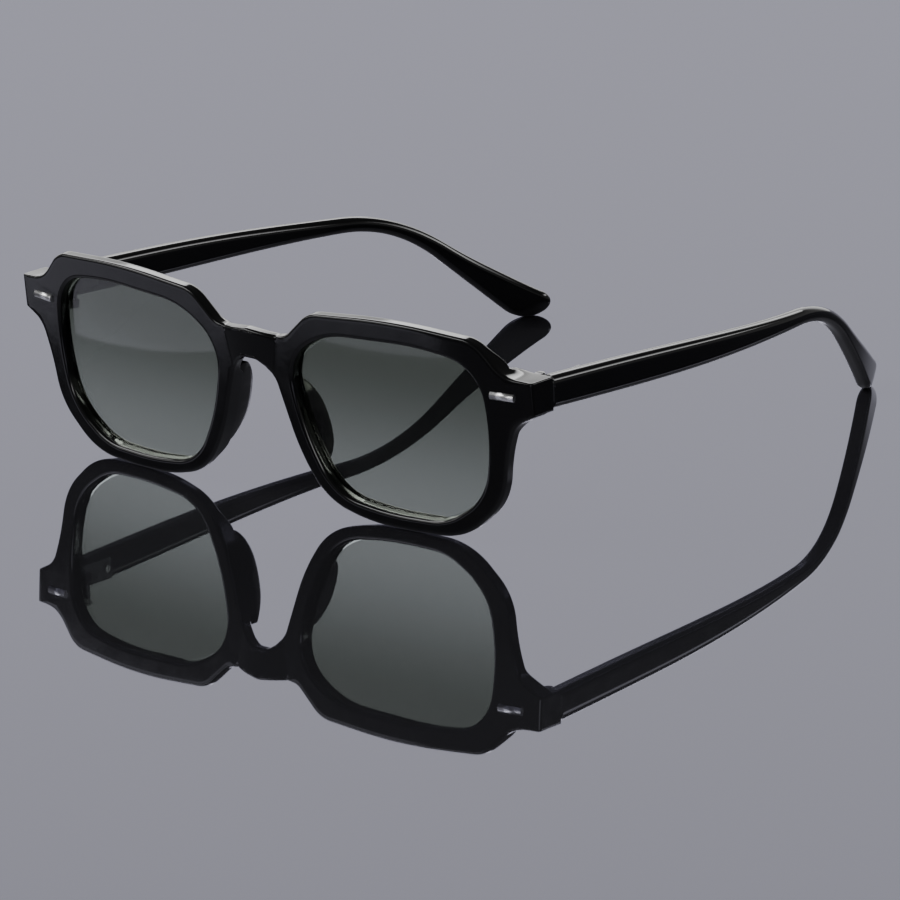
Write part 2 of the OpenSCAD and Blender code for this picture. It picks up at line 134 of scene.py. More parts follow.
def towards(x, y, z):
    """Cosine of the angle from a fixed direction."""
    node = nodes.new("ShaderNodeVectorMath")
    node.operation = "DOT_PRODUCT"
    node.inputs[1].default_value = Vector((x, y, z)).normalized()
    links.new(direction.outputs["Generated"], node.inputs[0])
    return node.outputs["Value"]


def within(x, y, spread, softness):
    """1 inside a spread of degrees about a level direction, with a soft edge."""
    outer, inner = (math.cos(math.radians(a)) for a in (spread + softness, spread))
    return edge(towards(x, y, 0), outer, inner)


def height(dark, bright):
    """Soft step between two heights, given in degrees above the horizon."""
    return edge(parts.outputs["Z"], math.sin(math.radians(dark)), math.sin(math.radians(bright)))


def soft_box(strength, spread, x, y, low, high):
    """Soft box at one side of the glasses, between two heights."""
    shape = calc("MULTIPLY", within(x, y, spread, 12), height(low - 1, low))
    return calc("MULTIPLY", calc("MULTIPLY", shape, height(high + 3, high)), strength)


# The backdrop is brightest low down and behind the glasses, and never black
least, side_share = 0.12, 0.25
behind = calc("MULTIPLY_ADD", within(-0.67, 0.74, 28, 18), 1 - side_share, side_share)
level = calc("ADD", calc("MULTIPLY", height(30, 8), behind), least)
# Strength, spread, direction (x, y) and the two heights of each soft box: two
# behind, one front left, one back right and one low at the front right
for box in (
    soft_box(1.25, 26, -0.67, 0.74, -10, 31),
    soft_box(6.5, 34, -0.67, 0.74, 23, 34),
    soft_box(10, 42, -0.74, -0.67, 33, 45),
    soft_box(9, 22, 0.57, 0.82, 21, 32),
    soft_box(5, 15, 0.71, -0.71, 8, 25),
):
    level = calc("ADD", level, box)
links.new(level, glow.inputs["Strength"])
links.new(glow.outputs["Background"], output.inputs["Surface"])

# Two long thin lights end to end at the front left, from the height and place
# of one upper corner to the other. The floor mirrors them into the rims.
card_h = 0.18
card_watts = 10.5
for name, left, right in (
    ("low_light_left", Vector((-1.518, -0.548, 0.530)), Vector((-0.813, -0.965, 0.481))),
    ("low_light_right", Vector((-0.813, -0.965, 0.480)), Vector((-0.580, -1.103, 0.500))),
):
    card_data = bpy.data.lights.new(name, "AREA")
    card_data.shape = "RECTANGLE"
    card_data.size = (right - left).length
    card_data.size_y = card_h
    card_data.energy = card_watts * card_data.size * card_h
    card = bpy.data.objects.new(name, card_data)
    bpy.context.scene.collection.objects.link(card)
    along = (right - left).normalized()
    away = along.cross(Vector((0, 0, 1))).normalized()
    up = away.cross(along)
    middle = (left + right) / 2 - up * card_h / 2
    card_turn = Matrix((along, up, away)).transposed().to_4x4()
    card.matrix_world = Matrix.Translation(middle) @ card_turn
    card.visible_camera = False

# Front: one moulding of glossy black plastic, with two rims, a raised bridge
# and two end pieces. The sheet is curved and leans forward, a groove in each
# opening holds the lens, and a thick block behind each end holds the hinge.

# Lengths are in millimetres until a finished mesh is scaled to metres
front_t = 4.2
front_r = 450
front_lean = math.radians(5)
end_x, end_z0, end_z1 = 71, 29.3, 36.4
crown_z, bridge_x, bridge_top = 37.9, 7.2, 36.9
bridge_bulge, bridge_t, bridge_lean = 1.5, 4.2, math.radians(9)
post_r = (bridge_x**2 + bridge_bulge**2) / (2 * bridge_bulge)
scallop_r = 23
lens_set, lens_t, lens_fit, groove_d = 2.1, 1.5, 0.03, 0.8
end_wrap, block_depth = 6.4, 6
crown_power = 1.15
MM = 0.001

# Corners of the right rim, seen from the front: x, z and the radius of the arc
opening_corners = [
    (19.7, 39.2, 20.6),
    (43.8, 40.26, 69),
    (58.4, 37.8, 9.5),
    (59.9, 23.1, 46),
    (57.5, 10, 14),
    (47.45, 3.3, 14.6),
    (32.5, 2.93, 74),
    (19.4, 4.9, 12.4),
    (12.3, 18, 45),
    (9.6, 32, 9.5),
]
crown_corners = [
    (bridge_x * k / 6, crown_z - (crown_z - bridge_top) * (k / 6) ** crown_power, 0)
    for k in range(7)
]
rim_corners = [
    (9.7, 37.3, 4.2),
    (16.2, 43.2, 7.4),
    (37.2, 44.85, 141),
    (58, 43.5, 6.9),
    (64.2, 36.75, 11),
    (end_x, end_z1, 0),
    (end_x, end_z0, 0),
    (66.1, 26.85, 6),
    (63.7, 19.8, 45),
    (62.1, 9.7, 14.2),
    (51.9, 0.5, 17),
    (39.6, 0, 3),
    (36.6, 0, 3),
    (27.9, 0.25, 46),
    (17, 3.1, 14.5),
    (10.7, 12.6, 41),
    (5.9, 27.6, 6),
    (3.8, 29.9, 1.4),
    (1.8, 31.2, 3),
    (0, 31.2, 0),
]


arc_step = 0.15


def rounded_line(corners, closed):
    """Run a line past corner points (x, z, radius), with an arc at each."""
    line = []
    for i, (x, z, radius) in enumerate(corners):
        here = Vector((x, z))
        if radius == 0 or (not closed and i in (0, len(corners) - 1)):
            line.append(here)
            continue
        one = Vector(corners[i - 1][:2]) - here
        two = Vector(corners[(i + 1) % len(corners)][:2]) - here
        half = one.angle(two) / 2
        room = 0.49 * min(one.length, two.length)
        reach = min(radius / math.tan(half), room)
        radius = reach * math.tan(half)
        one.normalize()
        two.normalize()
        middle = here + (one + two).normalized() * radius / math.sin(half)
        start = here + one * reach - middle
        turn = math.pi - 2 * half
        if one.x * two.y - one.y * two.x > 0:
            turn = -turn
        steps = max(4, math.ceil(abs(turn) * radius / arc_step))
        for k in range(steps + 1):
            a = turn * k / steps
            c, s = math.cos(a), math.sin(a)
            spoke = Vector((start.x * c - start.y * s, start.x * s + start.y * c))
            line.append(middle + spoke)
    return line


class Track:
    """A line with a scale of lengths along it."""

    def __init__(self, line, closed=False):
        self.line = list(line) + ([line[0]] if closed else [])
        self.at = [0]
        for a, b in zip(self.line, self.line[1:]):
            self.at.append(self.at[-1] + (b - a).length)
        self.length = self.at[-1]
        self.closed = closed

    def point(self, s):
        """Point of the line at a length along it."""
        if self.closed:
            s %= self.length
        s = min(max(s, 0), self.length)
        low, high = 0, len(self.at) - 1
        while high - low > 1:
            middle = (low + high) // 2
            if self.at[middle] <= s:
                low = middle
            else:
                high = middle
        span = self.at[high] - self.at[low]
        return self.line[low].lerp(self.line[high], (s - self.at[low]) / span if span else 0)

    def nearest(self, x, z):
        """Length along the line at its point nearest to (x, z)."""
        target = Vector((x, z))
        best = (1e9, 0)
        for a, b, s in zip(self.line, self.line[1:], self.at):
            side = b - a
            if side.length == 0:
                continue
            t = min(max((target - a).dot(side) / side.length_squared, 0), 1)
            best = min(best, ((a + side * t - target).length, s + t * side.length))
        return best[1]


def smooth(v):
    """Soft step from 0 to 1."""
    v = min(max(v, 0), 1)
    return v * v * (3 - 2 * v)


foot_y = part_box("front_frame")[0].y / MM + bridge_bulge + crown_z * math.tan(front_lean)


def face_y(x, z):
    """Depth of the front's curved face."""
    return (
        foot_y
        + (front_r - math.sqrt(front_r**2 - x * x)) / math.cos(front_lean)
        - z * math.tan(front_lean)
    )


bridge_y = face_y(0, crown_z) - bridge_bulge
seam_y = face_y(end_x, (end_z0 + end_z1) / 2) + end_wrap


def post_y(x, z, radius, back):
    """Depth of a leaning round post behind the bridge's foremost line."""
    sag = radius - math.sqrt(max(radius**2 - x * x, 0))
    return bridge_y + back + sag / math.cos(bridge_lean) + (crown_z - z) * math.tan(bridge_lean)


def front_depth(x, z):
    """Depth of the front surface behind the curved face: less than 0 on the bridge."""
    rise = (post_y(x, z, post_r, 0) - face_y(x, z)) * math.cos(front_lean)
    return min(rise, 0) if abs(x) < bridge_x + 0.5 else 0


scallop_x, blend = 12, 0.35


def back_depth(x, z):
    """Depth of the back surface, with the smooth hollow behind the bridge."""
    if abs(x) > scallop_x:
        return front_t
    hollow = (post_y(x, z, scallop_r, bridge_t) - face_y(x, z)) * math.cos(front_lean)
    h = min(max(0.5 + 0.5 * (front_t - hollow) / blend, 0), 1)
    return front_t + (hollow - front_t) * h - blend * h * (1 - h)


def ridge_x(z):
    """Half width of the raised bridge at a height."""
    low, high = 0, bridge_x + 0.6
    for _ in range(40):
        middle = (low + high) / 2
        if post_y(middle, z, post_r, 0) < face_y(middle, z):
            low = middle
        else:
            high = middle
    return low


def grid_sheet(bm, columns, rows, place):
    """Grid of faces whose corner (i, j) stands at place(i, j)."""
    verts = bmesh.ops.create_grid(bm, x_segments=columns, y_segments=rows, size=1)["verts"]
    for v in verts:
        i = round((v.co.x + 1) / 2 * columns)
        j = round((v.co.y + 1) / 2 * rows)
        v.co = place(i, j)
    return verts


# The right rim's face is a ring of columns from the lens opening out to the
# outline. Each pair of points here ties one place on both.
opening = Track(rounded_line(opening_corners, True), closed=True)
outline = Track(rounded_line(crown_corners + rim_corners, False))
under_s = outline.nearest(5.9, 27.7)
while outline.point(under_s).x > ridge_x(outline.point(under_s).y):
    under_s += 0.02
ridge_foot = outline.point(under_s)
ridge = [
    Vector((ridge_x(z), z))
    for z in (ridge_foot.y + (bridge_top - ridge_foot.y) * k / 40 for k in range(41))
]
ridge[0], ridge[-1] = ridge_foot, Vector((bridge_x, bridge_top))
crown_s = outline.nearest(bridge_x, bridge_top)
rim_steps = 2400
rim_stops = [crown_s + (under_s - crown_s) * k / rim_steps for k in range(rim_steps + 1)]
rim_stops += [outline.nearest(end_x, z) for z in (end_z1, end_z0)]
rim = Track([outline.point(s) for s in sorted(rim_stops)] + ridge[1:])
block_start, block_end = (63.4, 38.2), (end_x, end_z0)
ties = [
    ((7.2, 36.9), (11.0, 35.4)),
    ((9.7, 37.3), (12.3, 37.0)),
    ((16.2, 43.2), (18.6, 39.0)),
    ((37.2, 44.6), (37.2, 40.0)),
    ((57.4, 43.5), (55.8, 38.6)),
    (block_start, (59.0, 36.3)),
    ((end_x, end_z1), (59.45, 33.6)),
    (block_end, (59.6, 29.4)),
    ((66.1, 26.85), (59.5, 26.2)),
    ((63.7, 19.8), (59.2, 19.8)),
    ((62.1, 9.7), (57.4, 10.2)),
    ((51.9, 0.5), (49.0, 4.0)),
    ((38.1, 0), (38.1, 3.1)),
    ((27.9, 0.25), (28.2, 3.2)),
    ((17, 3.1), (19.4, 5.4)),
    ((10.7, 12.6), (13.9, 13.2)),
    ((5.9, 27.6), (10.0, 26.2)),
    (tuple(ridge_foot), (9.9, 28.4)),
]
column_step, ridge_columns, ridge_room = 0.55, 16, 1.3
spokes = []
block_columns = [0, 0]
for k, (out_tie, in_tie) in enumerate(ties):
    last = k == len(ties) - 1
    out_a = rim.nearest(*out_tie) if k else 0
    in_a = opening.nearest(*in_tie)
    out_b = rim.length if last else rim.nearest(*ties[k + 1][0])
    in_b = opening.nearest(*ties[0 if last else k + 1][1])
    if in_b < in_a:
        in_b += opening.length
    count = max(2, math.ceil(max(out_b - out_a, in_b - in_a) / column_step))
    if last:
        count = ridge_columns
        ridge_start = len(spokes)
    if out_tie == block_start:
        block_columns[0] = len(spokes)
    if out_tie == block_end:
        block_columns[1] = len(spokes)
    for n in range(count):
        t = n / count
        if last and n:
            # Room for the rounded edges at both ends of the ridge
            room = ridge_room / (out_b - out_a)
            t = room + (1 - 2 * room) * (n - 1) / (count - 2)
        outer = rim.point(out_a + (out_b - out_a) * t)
        spokes.append((outer, opening.point(in_a + (in_b - in_a) * t)))
spokes.append(spokes[0])


def slant(i, side):
    """Sine of the angle between column i and the line that it meets."""
    around = len(spokes) - 1
    before, after = spokes[(i - 1) % around][side], spokes[(i + 1) % around][side]
    along = (after - before).normalized()
    column = (spokes[i][0] - spokes[i][1]).normalized()
    return max(abs(along.x * column.y - along.y * column.x), 0.35)


inner_room, outer_room = 0.95, 1.15


def band_point(i, j):
    """Place of column i and row j of the rim's face. Row 0 is at the opening."""
    outer, inner = spokes[i]
    span = (outer - inner).length
    near = inner_room / slant(i, 1) / span
    far = 1 - min(outer_room / slant(i, 0) / span, 0.45)
    share = [0, near, (near + far) / 2, far, 1][j]
    spot = inner.lerp(outer, share)
    return Vector((spot.x, front_depth(*spot), spot.y))


under_l = outline.length - under_s
under = Track([outline.point(outline.length - under_l * k / 200) for k in range(201)])
crown = Track([outline.point(crown_s * k / 60) for k in range(61)])
ridge_points = [spokes[k][0] for k in range(ridge_start, len(spokes))]
bridge_columns = 14
bridge_rows = len(ridge_points) - 1


def bridge_point(i, j):
    """Place of column i and row j of the bridge's right half, from its underside up."""
    u, v = i / bridge_columns, j / bridge_rows
    low = under.point(under.length * u)
    high = crown.point(crown.length * u)
    left = under.point(0).lerp(crown.point(0), v)
    right = ridge_points[j]
    corners = (
        under.point(0) * (1 - u) * (1 - v)
        + under.point(under.length) * u * (1 - v)
        + crown.point(0) * (1 - u) * v
        + crown.point(crown.length) * u * v
    )
    spot = low * (1 - v) + high * v + left * (1 - u) + right * u - corners
    return Vector((spot.x, front_depth(*spot), spot.y))


front_bm = bmesh.new()
block = front_bm.faces.layers.int.new("block")
grid_sheet(front_bm, len(spokes) - 1, 4, band_point)
front_bm.faces.ensure_lookup_table()
for face in front_bm.faces:
    # create_grid numbers its faces row by row
    column, row = face.index % (len(spokes) - 1), face.index // (len(spokes) - 1)
    if block_columns[0] <= column < block_columns[1] and row >= 1:
        face[block] = 1
grid_sheet(front_bm, bridge_columns, bridge_rows, bridge_point)
right_half = front_bm.verts[:] + front_bm.edges[:] + front_bm.faces[:]
bmesh.ops.mirror(front_bm, geom=right_half, matrix=Matrix.Identity(4), merge_dist=0.001, axis="X")
bmesh.ops.remove_doubles(front_bm, verts=front_bm.verts, dist=0.002)
bmesh.ops.recalc_face_normals(front_bm, faces=front_bm.faces)

# Thickness: a copy of the face becomes the back, and walls join the two
made = bmesh.ops.extrude_face_region(front_bm, geom=front_bm.faces[:], use_keep_orig=True)
back_verts = {g for g in made["geom"] if isinstance(g, bmesh.types.BMVert)}
back_faces = [g for g in made["geom"] if isinstance(g, bmesh.types.BMFace)]
edge_step = 0.25
edge_count = math.ceil(outline.length / edge_step) + 1
edge_points = kdtree.KDTree(edge_count)
for k in range(edge_count):
    spot = outline.point(k * edge_step)
    edge_points.insert((spot.x, spot.y, 0), k)
edge_points.balance()


def by_nose(x, z):
    """1 on the nose's side of a rim, where the pad is glued."""
    return smooth((17.5 - x) / 3) * smooth((27.5 - z) / 2.5) * smooth((z - 5) / 4)


def by_end(x, z):
    """1 where the block of the end piece begins."""
    return smooth((x - 59) / 3.5) * smooth((z - 24.5) / 3.5)


drop_depth, drop_width = 1.6, 2.4


def edge_drop(x, z):
    """How far the back falls away towards the outline."""
    near = 1 - smooth(edge_points.find((x, z, 0))[2] / drop_width)
    return drop_depth * near * (1 - by_nose(x, z)) * (1 - by_end(x, z))


for v in back_verts:
    x, z = abs(v.co.x), v.co.z
    v.co.y = back_depth(x, z) - edge_drop(x, z)
opening_middle = Vector((34.5, 21.5))


def opening_outward(x, z):
    """Direction away from the lens opening at a point on its edge."""
    s = opening.nearest(abs(x), z)
    along = opening.point(s + 0.1) - opening.point(s - 0.1)
    out = Vector((-along.y, along.x)).normalized()
    if out.dot(Vector((abs(x), z)) - opening_middle) < 0:
        out = -out
    return Vector((math.copysign(1, x) * out.x, 0, out.y))


def spot_key(x, z):
    """Rounded place, by which points above each other are found."""
    return round(x, 3), round(z, 3)


# The walls get four more rows: the groove in an opening, the rounding elsewhere
wall_edges = []
wall_depths = {}
for e in front_bm.edges:
    top, low = sorted(e.verts, key=lambda v: v in back_verts)
    if low in back_verts and top not in back_verts:
        wall_edges.append(e)
        wall_depths[spot_key(top.co.x, top.co.z)] = (top.co.y, low.co.y)
opening_keys = {spot_key(*inner) for outer, inner in spokes}
made = bmesh.ops.subdivide_edges(front_bm, edges=wall_edges, cuts=4, use_grid_fill=True)
groove_front, groove_back = lens_set - lens_fit, lens_set + lens_t + lens_fit
groove_rows = [groove_front, groove_front, groove_back, groove_back]
front_room, back_room = 0.78, 0.75
for v in made["geom_inner"]:
    if not isinstance(v, bmesh.types.BMVert):
        continue
    top_y, low_y = wall_depths[spot_key(v.co.x, v.co.z)]
    k = round((v.co.y - top_y) / (low_y - top_y) * 5)
    if spot_key(abs(v.co.x), v.co.z) in opening_keys:
        v.co.y = groove_rows[k - 1]
        if k in (2, 3):
            v.co += opening_outward(v.co.x, v.co.z) * groove_d
    else:
        v.co.y = top_y + front_room + (low_y - top_y - front_room - back_room) * (k - 1) / 3

# Blocks behind the end pieces, drawn back to the seam
block_faces = [f for f in back_faces if f.is_valid and f[block] == 1]
made = bmesh.ops.extrude_face_region(front_bm, geom=block_faces, use_keep_orig=False)
seam_verts = {g for g in made["geom"] if isinstance(g, bmesh.types.BMVert)}
bmesh.ops.delete(front_bm, geom=[f for f in block_faces if f.is_valid], context="FACES_ONLY")
bmesh.ops.delete(front_bm, geom=[v for v in front_bm.verts if not v.link_faces], context="VERTS")
for v in seam_verts:
    v.co.y += block_depth
side_edges = [e for e in front_bm.edges if sum(v in seam_verts for v in e.verts) == 1]
bmesh.ops.subdivide_edges(front_bm, edges=side_edges, cuts=3, use_grid_fill=True)
bmesh.ops.recalc_face_normals(front_bm, faces=front_bm.faces)

# How round each edge is, in millimetres, and the angles in radians that tell them apart
outline_round, back_round, opening_round, opening_back_round = 0.62, 0.6, 0.8, 0.2
seam_round, end_round, block_round, ridge_round = 0.12, 0.35, 0.3, 0.3
nose_sharper, end_sharper = 0.4, 0.3
flat_angle, ridge_angle, square_angle = 0.15, 0.7, 0.8
opening_x, opening_reach = 60.1, 33
weight = front_bm.edges.layers.float.new("bevel_weight_edge")
front_bm.normal_update()
for e in front_bm.edges:
    if len(e.link_faces) != 2:
        continue
    angle = e.calc_face_angle(0)
    if angle < flat_angle:
        continue
    middle = (e.verts[0].co + e.verts[1].co) / 2
    x, d, z = abs(middle.x), middle.y, middle.z
    # The wall is the face that looks sideways most
    wall = min(e.link_faces, key=lambda f: abs(f.normal.y))
    away = Vector((x - opening_middle.x, z - opening_middle.y))
    side = Vector((math.copysign(1, middle.x) * wall.normal.x, wall.normal.z))
    looks_inwards = abs(wall.normal.y) < 0.3 and side.dot(away) < 0
    at_opening = looks_inwards and x < opening_x and away.length < opening_reach
    along = abs((e.verts[0].co - e.verts[1].co).normalized().y)
    if d > front_t + block_depth - 0.1:
        e[weight] = seam_round
    elif along > 0.9:
        if x > end_x - 0.1 and angle > square_angle:
            e[weight] = end_round
        elif x < 61 and d > front_t + 0.01 and angle > square_angle:
            e[weight] = block_round
    elif at_opening:
        if d < 0.01:
            e[weight] = opening_round
        elif d > front_t - 0.4:
            e[weight] = opening_back_round
    elif angle < ridge_angle:
        if x < bridge_x + 0.1 and d < 0.2 and abs(x - ridge_x(z)) < 0.1:
            e[weight] = ridge_round * smooth((bridge_top - z) / 2) * smooth((z - ridge_foot.y) / 2)
    elif d < 0.3:
        e[weight] = outline_round
    else:
        e[weight] = back_round - end_sharper * by_end(x, z) - nose_sharper * by_nose(x, z)


def block_top(x):
    """Height of the upper edge of the end piece's block, where it leaves the sheet."""
    outer, inner = spokes[block_columns[0]]
    if x < outer.x:
        t = min(max((x - inner.x) / (outer.x - inner.x), 0), 1)
        return inner.y + (outer.y - inner.y) * t
    return outline.point(outline.nearest(x, 37)).y if x < end_x else end_z1


def lean_at(x):
    """Lean of the sheet's thickness, which is upright at the end pieces."""
    return front_lean * (1 - smooth((x - 58) / 8))


seam_air = 0.04
end_piece_x, end_piece_z = 60, 28.5


def stand_up(v):
    """From the flat sheet (x, depth, z) to its place in the glasses."""
    x, d, z = abs(v.co.x), v.co.y, v.co.z
    lean = lean_at(x)
    sheet_d = min(d, front_t)
    y = face_y(x, z) + sheet_d * math.cos(lean)
    new_z = z + sheet_d * math.sin(lean)
    if x > end_piece_x and z > end_piece_z:
        flat_z = end_z0 + (z - end_z0) * (end_z1 - end_z0) / (block_top(x) - end_z0)
        t = max(d - front_t, 0) / block_depth
        y += (seam_y - seam_air - y) * t
        # The top flows from the outline at the face to the block's flat top at the seam
        reach = (y - face_y(x, z)) / (seam_y - seam_air - face_y(x, z))
        share = smooth((x - 61.5) / 5) * smooth((z - 31) / 3)
        new_z += (flat_z - new_z) * reach * (share + (1 - share) * t)
    v.co = Vector((math.copysign(x, v.co.x), y, new_z))


def to_metres(bm, sign=1):
    """Scale a mesh in millimetres to metres. A sign of -1 gives the left side's copy."""
    bmesh.ops.scale(bm, vec=(sign * MM, MM, MM), verts=bm.verts)
    bmesh.ops.recalc_face_normals(bm, faces=bm.faces)


def new_piece(name, bm):
    """Turn a finished bmesh into an object."""
    mesh = bpy.data.meshes.new(name)
    bm.to_mesh(mesh)
    bm.free()
    piece = bpy.data.objects.new(name, mesh)
    bpy.context.scene.collection.objects.link(piece)
    return piece


for v in front_bm.verts:
    stand_up(v)
to_metres(front_bm)
for f in front_bm.faces:
    f.smooth = True
front = new_piece("moulded_front", front_bm)
front_rounding = front.modifiers.new("rounded edges", "BEVEL")
front_rounding.limit_method = "WEIGHT"
front_rounding.width = MM
front_rounding.segments = 6
front_rounding.use_clamp_overlap = False
front_shading = front.modifiers.new("even shading", "WEIGHTED_NORMAL")
front_shading.weight = 80


def black_plastic(name):
    """Glossy black plastic with a faint orange peel and fine wiping marks."""
    paint = bpy.data.materials.new(name)
    paint.use_nodes = True
    nodes, links = paint.node_tree.nodes, paint.node_tree.links
    shader = nodes["Principled BSDF"]
    shader.inputs["Base Color"].default_value = (0.0035, 0.0035, 0.0038, 1)
    shader.inputs["IOR"].default_value = 1.49
    shader.inputs["Specular IOR Level"].default_value = 0.4
    place = nodes.new("ShaderNodeTexCoord")
    cloud = nodes.new("ShaderNodeTexNoise")
    cloud.inputs["Scale"].default_value = 240
    cloud.inputs["Detail"].default_value = 4
    gloss = nodes.new("ShaderNodeMapRange")
    gloss.inputs["From Min"].default_value = 0.3
    gloss.inputs["From Max"].default_value = 0.7
    gloss.inputs["To Min"].default_value = 0.06
    gloss.inputs["To Max"].default_value = 0.11
    peel = nodes.new("ShaderNodeTexNoise")
    peel.inputs["Scale"].default_value = 900
    peel.inputs["Detail"].default_value = 2
    bump = nodes.new("ShaderNodeBump")
    bump.inputs["Strength"].default_value = 0.03
    bump.inputs["Distance"].default_value = 0.0001
    links.new(place.outputs["Object"], cloud.inputs["Vector"])
    links.new(place.outputs["Object"], peel.inputs["Vector"])
    links.new(cloud.outputs["Fac"], gloss.inputs["Value"])
    links.new(gloss.outputs["Result"], shader.inputs["Roughness"])
    links.new(peel.outputs["Fac"], bump.inputs["Height"])
    links.new(bump.outputs["Normal"], shader.inputs["Normal"])
    return paint


front.data.materials.append(black_plastic("black_front"))
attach(front, "front")
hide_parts("front_frame")

# Lenses: thin curved sheets of grey-green tinted plastic, darker at the top.
# Each is sprung into the groove of its rim, so its edge is hidden all round.
lens_rows, lens_columns = 18, 220
tint_top, tint_bottom = (0.165, 0.19, 0.15, 1), (0.50, 0.55, 0.48, 1)
# Near-black tint for the lens's ground edge: painted shade where the rim's groove shades it
edge_shade_colour = (0.008, 0.009, 0.008, 1)


def lens_edge(s):
    """Place on the lens's outline, which runs inside the groove."""
    spot = opening.point(s)
    out = opening_outward(spot.x, spot.y)
    return spot + Vector((out.x, out.z)) * (groove_d - lens_fit)


lens_line = [lens_edge(opening.length * k / lens_columns) for k in range(lens_columns)]
lens_line.append(lens_line[0])


def lens_point(i, j):
    """Place of column i and row j of the lens's face, from its middle outwards."""
    spot = opening_middle.lerp(lens_line[i], j / lens_rows)
    return Vector((spot.x, lens_set, spot.y))


def tinted(name):
    """See-through grey-green tint that grows lighter towards the bottom, with painted shade near
    black at its ground edge.
    """
    paint = bpy.data.materials.new(name)
    paint.use_nodes = True
    nodes, links = paint.node_tree.nodes, paint.node_tree.links
    shader = nodes["Principled BSDF"]
    shader.inputs["Roughness"].default_value = 0
    shader.inputs["IOR"].default_value = 1.5
    shader.inputs["Specular IOR Level"].default_value = 0.25
    shader.inputs["Transmission Weight"].default_value = 1
    place = nodes.new("ShaderNodeTexCoord")
    parts = nodes.new("ShaderNodeSeparateXYZ")
    fade = nodes.new("ShaderNodeValToRGB")
    fade.color_ramp.interpolation = "EASE"
    fade.color_ramp.elements[0].color = tint_bottom
    fade.color_ramp.elements[1].color = tint_top
    level = nodes.new("ShaderNodeMapRange")
    level.inputs["From Min"].default_value = 0.002
    level.inputs["From Max"].default_value = 0.036
    links.new(place.outputs["Object"], parts.inputs["Vector"])
    links.new(parts.outputs["Z"], level.inputs["Value"])
    # Painted shade: the tint darkens to near black at the ground edge
    edge_shade = nodes.new("ShaderNodeAttribute")
    edge_shade.attribute_name = "ground_edge_shade"
    dim = nodes.new("ShaderNodeMix")
    dim.data_type = "RGBA"
    dim.inputs["B"].default_value = edge_shade_colour
    links.new(level.outputs["Result"], fade.inputs["Fac"])
    links.new(edge_shade.outputs["Fac"], dim.inputs["Factor"])
    links.new(fade.outputs["Color"], dim.inputs["A"])
    links.new(dim.outputs["Result"], shader.inputs["Base Color"])
    return paint


for side, sign in (("right", 1), ("left", -1)):
    bm = bmesh.new()
    grid_sheet(bm, lens_columns, lens_rows, lens_point)
    bmesh.ops.remove_doubles(bm, verts=bm.verts, dist=0.001)
    # Painted shade: the rough ground edge and the outer ring of faces fade to a near-black tint,
    # where the rim's groove shades them, so they let almost no light through
    edge_shade = bm.verts.layers.float.new("ground_edge_shade")
    for v in bm.verts:
        v[edge_shade] = v.is_boundary
    made = bmesh.ops.extrude_face_region(bm, geom=bm.faces[:], use_keep_orig=True)
    for v in made["geom"]:
        if isinstance(v, bmesh.types.BMVert):
            v.co.y += lens_t
    for v in bm.verts:
        x, d, z = v.co
        lean = lean_at(x)
        v.co = Vector((x, face_y(x, z) + d * math.cos(lean), z + d * math.sin(lean)))
    to_metres(bm, sign)
    for f in bm.faces:
        f.smooth = True
    lens = new_piece(f"tinted_lens_{side}", bm)
    lens.data.materials.append(tinted(f"smoke_tint_{side}"))
    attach(lens, "front")
    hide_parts(f"lens_{side}")

# Nose pads: solid black plastic humps, glued to the back of the rims where
# they rest on the nose. Each is one smooth moulding, highest in its middle.
pad_reach, pad_h, pad_z, pad_foot = 4.8, 18.2, 18.7, 3.1
pad_root, pad_end, pad_splay = 1.6, 0.3, 0.8
pad_margin, pad_narrowing = -0.02, 0.45
# How full the hump is along its length, at its two ends, across, and over its crown
pad_long, pad_ends, pad_wide, pad_crown = 2.4, 0.7, 0.7, 0.8
pad_columns, pad_rows, pad_last = 30, 44, math.radians(84)

# The rim's nose wall: its distance from the middle at every half millimetre of height
nose_wall = {}
wall_high, wall_low, wall_steps = under_s + 2.5, outline.nearest(38, 0), 400
for k in range(wall_steps + 1):
    spot = outline.point(wall_high + (wall_low - wall_high) * k / wall_steps)
    nose_wall[round(spot.y * 2)] = spot.x


def edge_x(z):
    """Distance of the rim's nose wall from the middle at a height."""
    low = math.floor(z * 2)
    t = z * 2 - low
    return nose_wall[low] * (1 - t) + nose_wall[low + 1] * t


def pad_point(i, j):
    """Column 0 and the last one run down the rim's walls, the others over the hump."""
    # Rows lie closer together towards the ends, where the hump curves most
    v = math.sin(pad_last * (2 * j / pad_rows - 1))
    z = pad_z + v * pad_h / 2
    rise = (1 - abs(v) ** pad_long) ** pad_ends
    half = pad_foot / 2 * (1 - pad_narrowing * (1 - rise))
    t = math.pi * min(max(i - 1, 0), pad_columns - 2) / (pad_columns - 2)
    across = math.copysign(abs(math.cos(t)) ** pad_wide, math.cos(t))
    x = edge_x(z) + pad_margin + half + half * across + pad_splay * rise * math.sin(t)
    depth = (pad_reach * rise + pad_end) * max(math.sin(t), 0) ** pad_crown
    if i in (0, pad_columns):
        depth = -pad_root
    depth += front_t / math.cos(front_lean)
    return Vector((x, face_y(x, z) + depth, z + front_t * math.sin(front_lean)))


for side, sign in (("right", 1), ("left", -1)):
    bm = bmesh.new()
    grid_sheet(bm, pad_columns, pad_rows, pad_point)
    bmesh.ops.remove_doubles(bm, verts=bm.verts, dist=0.001)
    bmesh.ops.holes_fill(bm, edges=[e for e in bm.edges if e.is_boundary], sides=0)
    to_metres(bm, sign)
    for f in bm.faces:
        f.smooth = True
    pad = new_piece(f"glued_pad_{side}", bm)
    pad.data.materials.append(black_plastic(f"black_pad_{side}"))
    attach(pad, "front")
    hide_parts(f"nose_pad_{side}")

# Plaques: small bars of bright metal with a rounded face and square ends, one
# on each end piece. Each is let into the front; its two hidden pins are not drawn.
plaque_l, plaque_h, plaque_proud, plaque_sink = 5.6, 1.75, 0.6, 0.5
plaque_bevel, plaque_inset, plaque_drop = 0.8, 7, 0.1


